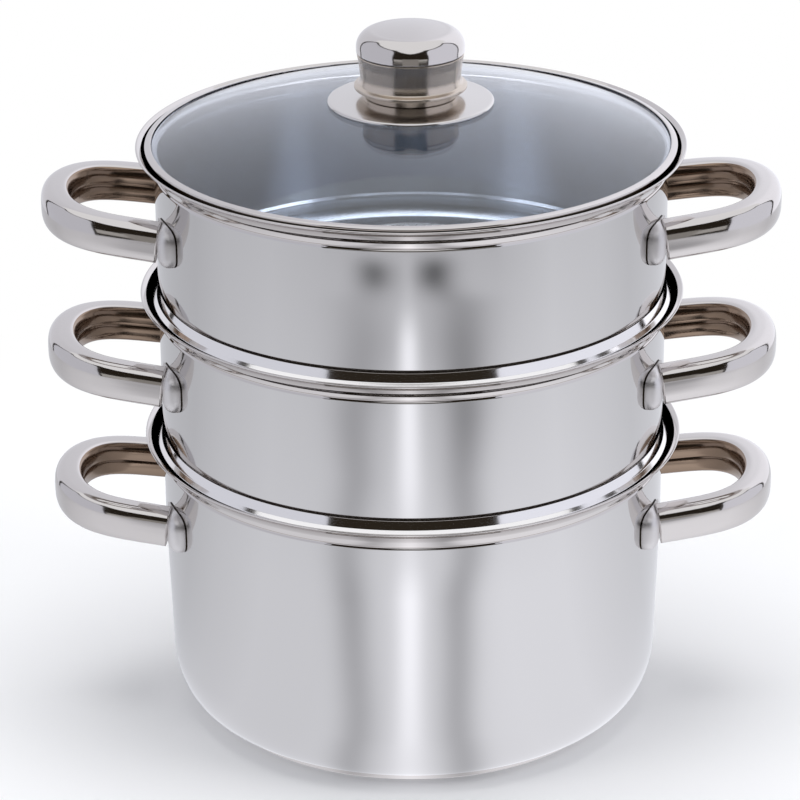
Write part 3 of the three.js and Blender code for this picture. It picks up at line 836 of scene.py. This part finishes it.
# Lid band: thin polished sheet, roll-formed, hemmed over the edge of the glass, with a shelf
# under it, a sloping seat that rests in the rim and a skirt that keeps the lid in place.
band_sheet = 0.6
band_height = 2.2
band_fillet = 0.9
hem_width = 2.6
hem_fillet = 0.8
glass_clearance = 0.3
shelf_radius = 114.85
shelf_width = 3.9
skirt_length = 4.2
glass_slope = glass_edge / (glass_sphere - glass_rise)
band_top = dome_height(glass_edge) + glass_clearance + band_sheet
band_seat = band_top - band_height
shelf_height = (dome_height(glass_edge - ground_width, glass_thickness) - glass_clearance
                - band_sheet)
skirt = shelf_radius - shelf_width
band_line = filleted([
    [skirt, shelf_height - skirt_length, 0],
    [skirt, shelf_height, hem_fillet],
    [shelf_radius, shelf_height, band_fillet],
    [band_radius, band_seat, band_fillet],
    [band_radius, band_top, hem_fillet],
    [band_radius - hem_width, band_top + (hem_width - band_sheet) * glass_slope, 0]])
band = turned("lid_ring", sheet_loop(band_line, band_sheet))
band.data.materials.append(polished_steel)
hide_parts("lid_band")
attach(band, "lid")


# Knob plate: a pressed steel dish under the knob that spreads the screw's load on the glass.
# It slopes down beyond its flat middle, and its rolled rim stands just off the dome.
plate_lift = 0.3
plate_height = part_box("knob_plate")[0].z / MM + plate_lift
plate_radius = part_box("knob_plate")[1].x / MM
plate_sheet = 0.9
plate_flat = 19.0
plate_bend = 6
plate_fall = -1.9
rim_roll = 1.0
plate_line = np.concatenate([
    arc_points((plate_radius - rim_roll, plate_height + plate_fall - 0.1), rim_roll,
               -0.35, 1.45, 7),
    filleted([[plate_radius - 2.0, plate_height + plate_fall + plate_sheet + 0.02, 0],
              [plate_flat, plate_height + plate_sheet, plate_bend],
              [glass_hole, plate_height + plate_sheet, 0]]),
    filleted([[glass_hole, plate_height, 0], [plate_flat, plate_height, plate_bend],
              [plate_radius - 1.4, plate_height + plate_fall, 0]])])
plate = turned("knob_dish", plate_line)
# Pressed and tumbled: an even, slightly clouded mirror.
plate.data.materials.append(plain_steel("pressed_stainless", "#d6d2cf", 0.16))
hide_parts("knob_plate")
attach(plate, "lid")


# Knob: a hollow spun body with a steep collar, a rolled ring and a waist, closed above a fine
# seam by a pressed cap with a rounded edge. Brushed body, buffed cap.
knob_foot = plate_height + plate_sheet
knob_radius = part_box("knob_cap")[1].x / MM
knob_sides = 192
seam_height = 19.2
seam_gap = 0.4
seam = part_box("knob_body")[0].z / MM + seam_height
waist = knob_radius - 1.1
ring_radius = knob_radius + 1.2
foot_radius = knob_radius - 3.4
bore = 2.8
bore_top = knob_foot + 12
knob_section = filleted([
    [bore, knob_foot, 0],
    [foot_radius, knob_foot, 0.4],
    [foot_radius + 0.8, knob_foot + 2.8, 0.6],
    [waist + 0.3, knob_foot + 3.3, 0.4],
    [ring_radius, knob_foot + 3.6, 0.6],
    [ring_radius, knob_foot + 5.0, 0.6],
    [waist, knob_foot + 5.8, 1.0],
    [waist - 0.5, knob_foot + 8.5, 10],
    [waist + 0.2, knob_foot + 15.0, 12],
    [knob_radius - 0.1, seam - seam_gap, 0.4],
    [0, seam - seam_gap, 0]], steps=8)
knob_section = np.concatenate([[[0, bore_top], [bore, bore_top]], knob_section])
knob = turned("knob_waist", knob_section, knob_sides)
# Brushed on the lathe with a coarse belt: warm, with reflections blurred up and down.
brushed_steel = steel("brushed_knob_stainless", "#c9beb2", 0.24, 0.5, 0.6, 0.001)
knob.data.materials.append(brushed_steel)
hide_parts("knob_body")
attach(knob, "lid")

cap_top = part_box("knob_cap")[1].z / MM
cap_crown = 1.0
cap_edge = 7.4
cap_radius = knob_radius + 0.1
edge_foot = cap_top - cap_crown - cap_edge
crown_radius = np.linspace(cap_radius - cap_edge, 0, 20)
crown_height = cap_top - cap_crown * (crown_radius / crown_radius[0]) ** 2
cap_section = np.concatenate([
    filleted([[0, seam, 0], [cap_radius, seam, 0.4], [cap_radius, edge_foot, 0]]),
    arc_points((cap_radius - cap_edge, edge_foot), cap_edge, 0, math.pi / 2, 24)[1:],
    np.stack([crown_radius, crown_height], axis=1)[1:]])
cap = turned("knob_top", cap_section, knob_sides)
cap.data.materials.append(buffed_steel)
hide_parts("knob_cap")
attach(cap, "lid")


# Under the glass: a silicone washer, a steel plate and the head of the screw that clamps
# them. The solids have the right shape, and get the finish of the real ones. Moulded
# silicone is milky and dull, and lets a little light through.
silicone, tree = new_material("clear_silicone")
finish_material(tree, add_node(tree, "ShaderNodeBsdfPrincipled", values={
    "Base Color": linear("#d9dadb"), "Roughness": 0.55, "Transmission Weight": 0.3}))
for node, finish in (("lid_washer", silicone), ("lid_under_plate", polished_steel),
                     ("lid_screw", polished_steel)):
    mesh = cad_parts[node].data
    mesh.materials.clear()
    mesh.materials.append(finish)
